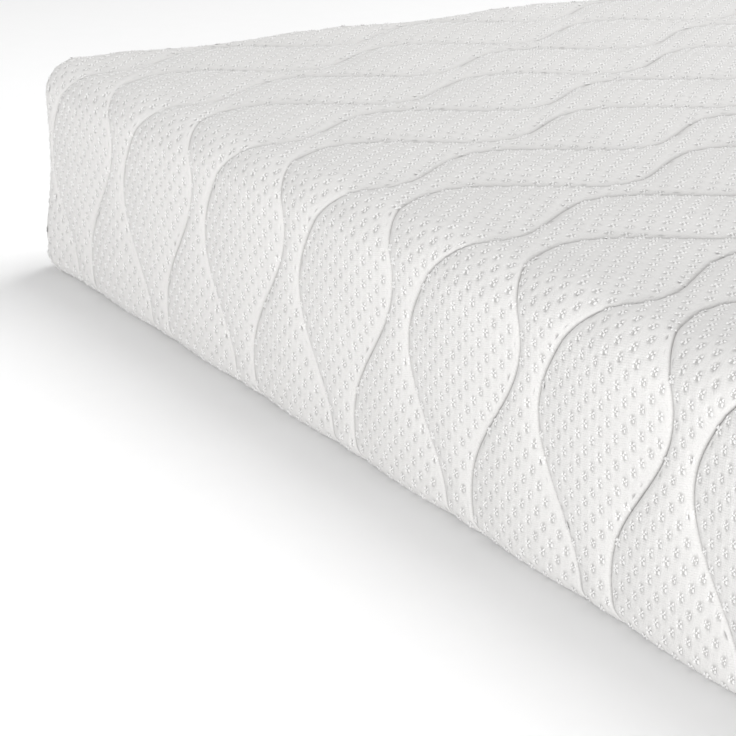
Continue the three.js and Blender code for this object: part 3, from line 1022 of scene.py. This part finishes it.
# %% [markdown]
# ## The underside
# The base cloth is a flat, hard-wearing weave with small rubber dots that keep the mattress from
# sliding. It lies just behind the quilted hem, and a row of stitches crosses from one to the other.

# %% Base cloth
BASE_OVERLAP = 8 * MM           # behind the hem
BASE_LOW = 1.0 * MM             # its underside, above the floor
BASE_THICK = 1.1 * MM
BASE_R = 14 * MM                # its corners
BASE_EDGE_R = 0.4 * MM
RIPPLE = 0.12 * MM
DOT_PITCH = 15 * MM
DOT_CLEAR = 14 * MM             # dots stop this far from the hem


def base_cloth_piece():
    inset = HEM - BASE_OVERLAP
    half_x, half_y = WIDTH / 2 - inset, LENGTH / 2 - inset
    low, high = np.array([-half_x, -half_y, BASE_LOW]), np.array([half_x, half_y, BASE_LOW + BASE_THICK])
    points, faces = rounded_box(low, high, BASE_R, BASE_EDGE_R, 16 * MM)
    x, y = points[:, 0], points[:, 1]
    points[:, 2] += (np.sin(x * 33) * np.sin(y * 27) + 0.5 * np.sin(x * 71 + y * 59)) * RIPPLE
    cloth = mesh_object("base_cloth_sheet", points, faces, base_cloth)
    hand_over(cloth, "base_cloth", "base_fabric")


base_cloth_piece()


# %% Grip dots
def dot_mesh():
    """A low dome: two rings of eight and a top."""
    turn = np.linspace(0, 2 * math.pi, 8, endpoint=False)
    rings = [(2.3 * MM, -0.1 * MM), (1.5 * MM, 0.5 * MM)]
    points = [(r * math.cos(a), r * math.sin(a), z) for r, z in rings for a in turn]
    points.append((0, 0, 0.62 * MM))
    faces = [(i, (i + 1) % 8, 8 + (i + 1) % 8, 8 + i) for i in range(8)]
    faces += [(8 + i, 8 + (i + 1) % 8, 16) for i in range(8)]
    return points, faces


def down_seeds(x, y, along, z=BASE_LOW):
    points = np.column_stack([x, y, np.full(len(x), z)])
    return points, points * 0 + np.array([0.0, 0.0, -1.0]), along


def dot_seeds():
    half_x, half_y = WIDTH / 2 - HEM - DOT_CLEAR, LENGTH / 2 - HEM - DOT_CLEAR
    rows = [np.arange(-half, half, DOT_PITCH) for half in (half_x, half_y)]
    x, y = np.meshgrid(*rows, indexing="ij")
    x = x + (np.arange(x.shape[1]) % 2) * DOT_PITCH / 2
    inside = x < half_x
    x, y = x[inside], y[inside]
    return down_seeds(x, y, np.tile([1.0, 0.0, 0.0], (len(x), 1)))


sow("grip_dots", dot_mesh(), grip, dot_seeds(), "base_cloth", spread=0.05)


# %% Round paths
def round_path(inset, radius, pitch, y_from=None):
    """Points along a rounded rectangle this far in from the sides, with outward directions. With
    y_from, only the part beyond it: up one long side, across the head and down the other."""
    x1, y1 = WIDTH / 2 - inset, LENGTH / 2 - inset
    start = -(y1 - radius) if y_from is None else y_from
    quarter_turns = np.linspace(0, math.pi / 2, 9)
    arc = [(x1 - radius + radius * math.cos(a), y1 - radius + radius * math.sin(a)) for a in quarter_turns]
    right = [(x1, start), *arc]
    path = right + [(-x, y) for x, y in right[::-1]]
    if y_from is None:
        path += [(-x, -y) for x, y in arc] + [(x, -y) for x, y in arc[::-1]] + [right[0]]
    path = np.array(path)
    lengths = np.linalg.norm(np.diff(path, axis=0), axis=1)
    path, lengths = path[np.concatenate([[True], lengths > TINY])], lengths[lengths > TINY]
    marks = np.concatenate([[0], np.cumsum(lengths)])
    count = int(marks[-1] / pitch)
    places = (np.arange(count) + 0.5) * marks[-1] / count
    step = 0.5 * MM
    behind, here, ahead = (np.column_stack([np.interp(at, marks, path[:, i]) for i in (0, 1)])
                           for at in (places - step, places, places + step))
    way = ahead - behind
    way /= np.linalg.norm(way, axis=1)[:, None]
    return here, np.column_stack([way[:, 1], -way[:, 0]])


HEM_STITCH = 4.5 * MM           # from one to the next
HEM_CORNER_R = 12 * MM
HEM_STITCH_LOW = 0.32 * MM      # above the floor
places, outward = round_path(HEM, HEM_CORNER_R, HEM_STITCH)
seeds = down_seeds(*places.T, np.column_stack([outward, np.zeros(len(outward))]), HEM_STITCH_LOW)
sow("hem_stitches", stitch_mesh(8 * MM, 0.7 * MM, 0.25 * MM), thread, seeds, "cover_knit")
print("hem stitches:", len(places))

# %% [markdown]
# ## The zip's teeth
# A nylon zip is one plastic thread wound into loops. Each loop shows as a rounded tooth with a
# wider head at the middle; the two rows are half a tooth apart, so they lock.

# %% Teeth
TOOTH_PITCH = 2.0 * MM
TOOTH_HEAD = 0.75 * MM          # past the row's own edge, towards the other row


def tooth_mesh(length, thick):
    """x runs along the zip, y away from its middle, z outward."""
    head, foot = -TOOTH_HEAD / MM, length / MM
    half = [(0.62, head), (0.86, head + 0.4), (0.45, 0.15), (0.42, foot)]      # in millimetres
    outline = np.array([(-0.62, head), *half, *((-x, y) for x, y in half[:0:-1])]) * MM
    middle = outline.mean(0)
    rings = [(0.72, -0.5 * thick), (1.0, -0.22 * thick), (1.0, 0.22 * thick), (0.68, 0.5 * thick)]
    points = [(*(middle + (xy - middle) * share), z) for share, z in rings for xy in outline]
    count, faces = len(outline), []
    for start in (0, count, 2 * count):
        pairs = [(start + i, start + (i + 1) % count) for i in range(count)]
        faces += [(a, b, b + count, a + count) for a, b in pairs]
    faces += [tuple(range(count))[::-1], tuple(range(3 * count, 4 * count))]
    return points, faces


FRAME_CORNER_R = 36 * MM        # the zip goes round the frame's corners, which are wider
COIL_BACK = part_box("zip_tape_upper")[1][0]          # the coil lies on the tape's outer face
COIL_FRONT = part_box("zip_coil_upper")[1][0]
COIL_INSET = WIDTH / 2 - (COIL_FRONT + COIL_BACK) / 2


def coil_row(name, node, upper):
    low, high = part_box(node)
    places, outward = round_path(COIL_INSET, FRAME_CORNER_R - COIL_INSET, TOOTH_PITCH, y_from=low[1])
    if upper:
        places = ((places + np.roll(places, -1, axis=0)) / 2)[:-1]
        outward = outward[:-1]
    level, sign = (low[2], 1.0) if upper else (high[2], -1.0)
    none = np.zeros(len(places))
    facings = np.column_stack([outward, none])
    alongs = sign * np.column_stack([-outward[:, 1], outward[:, 0], none])
    tooth = tooth_mesh(high[2] - low[2], float(COIL_FRONT - COIL_BACK))
    points = np.column_stack([places, none + level])
    sow(name, tooth, zip_plastic, (points, facings, alongs), "zip_coil", node)
    print(name, len(places), "teeth")


coil_row("zip_teeth_upper", "zip_coil_upper", True)
coil_row("zip_teeth_lower", "zip_coil_lower", False)

# %% [markdown]
# ## Floor, light and camera

# %% Floor and light
PALE, PALER = (0.93, 0.93, 0.93), (0.95, 0.95, 0.95)
FLOOR_HALF = 30.0
WORLD_LIGHT = 0.32

floor_look = Look("floor")
floor_grain = floor_look.noise(floor_look.where(), 40.0, 2.0)
floor_paint = floor_look.finish(floor_grain, PALE, PALER, Roughness=0.8)
floor_points = [(x * FLOOR_HALF, y * FLOOR_HALF, 0) for x, y in CORNERS]
floor = mesh_object("floor", floor_points, [(0, 1, 2, 3)], floor_paint)


def place_object(name, data, place, ahead, roll=0.0):
    """Adds a lamp or a camera that looks ahead from its place."""
    thing = bpy.data.objects.new(name, data)
    level = Vector(ahead).to_track_quat("-Z", "Y").to_matrix().to_4x4()
    thing.matrix_world = Matrix.Translation(place) @ level @ Matrix.Rotation(roll, 4, "Z")
    bpy.context.scene.collection.objects.link(thing)
    return thing


near_edge = Vector((0, -LENGTH / 2, HEIGHT / 2))
LIGHTS = [
    # name, place and target from the near edge's middle, size, power
    ("overhead_box", (-0.2, 1.0, 2.1), (0.0, 0.0, 0.0), (1.6, 1.6), 38.0),
    ("right_box", (2.8, -1.8, 0.45), (0.0, 0.0, 0.0), (1.2, 0.8), 88.0),
    ("floor_box", (0.5, -2.2, 1.6), (0.2, -0.8, -0.07), (1.4, 0.8), 14.0),
    ("left_box", (-2.2, -2.6, 0.6), (0.0, 0.0, 0.0), (1.2, 0.8), 24.0),
    ("rear_box", (-2.5, 5.2, 2.4), (-2.3, 4.2, -0.07), (3.0, 3.0), 120.0),
]
for name, place, target, size, power in LIGHTS:
    lamp = bpy.data.lights.new(name, "AREA")
    lamp.shape, lamp.size, lamp.size_y, lamp.energy = "RECTANGLE", *size, power
    place_object(name, lamp, near_edge + Vector(place), Vector(target) - Vector(place))

world = bpy.data.worlds.new("studio")
world.use_nodes = True
background = world.node_tree.nodes["Background"]
background.inputs["Color"].default_value = (1.0, 1.0, 1.0, 1.0)
background.inputs["Strength"].default_value = WORLD_LIGHT
bpy.context.scene.world = world
bpy.context.scene.view_settings.view_transform = "Standard"

# %% Camera
corner = Vector((-WIDTH / 2, -LENGTH / 2, 0))
CAMERA_FROM_CORNER = Vector((9.685, -3.80, 3.08)) * HEIGHT
TURN, RISE, ROLL = math.radians(60.02), math.radians(19.33), math.radians(-0.45)
camera = bpy.data.cameras.new("camera")
camera.lens, camera.sensor_width = 110.0, 36.0
ahead = (-math.sin(TURN) * math.cos(RISE), math.cos(TURN) * math.cos(RISE), -math.sin(RISE))
bpy.context.scene.camera = place_object("camera", camera, corner + CAMERA_FROM_CORNER, ahead, ROLL)
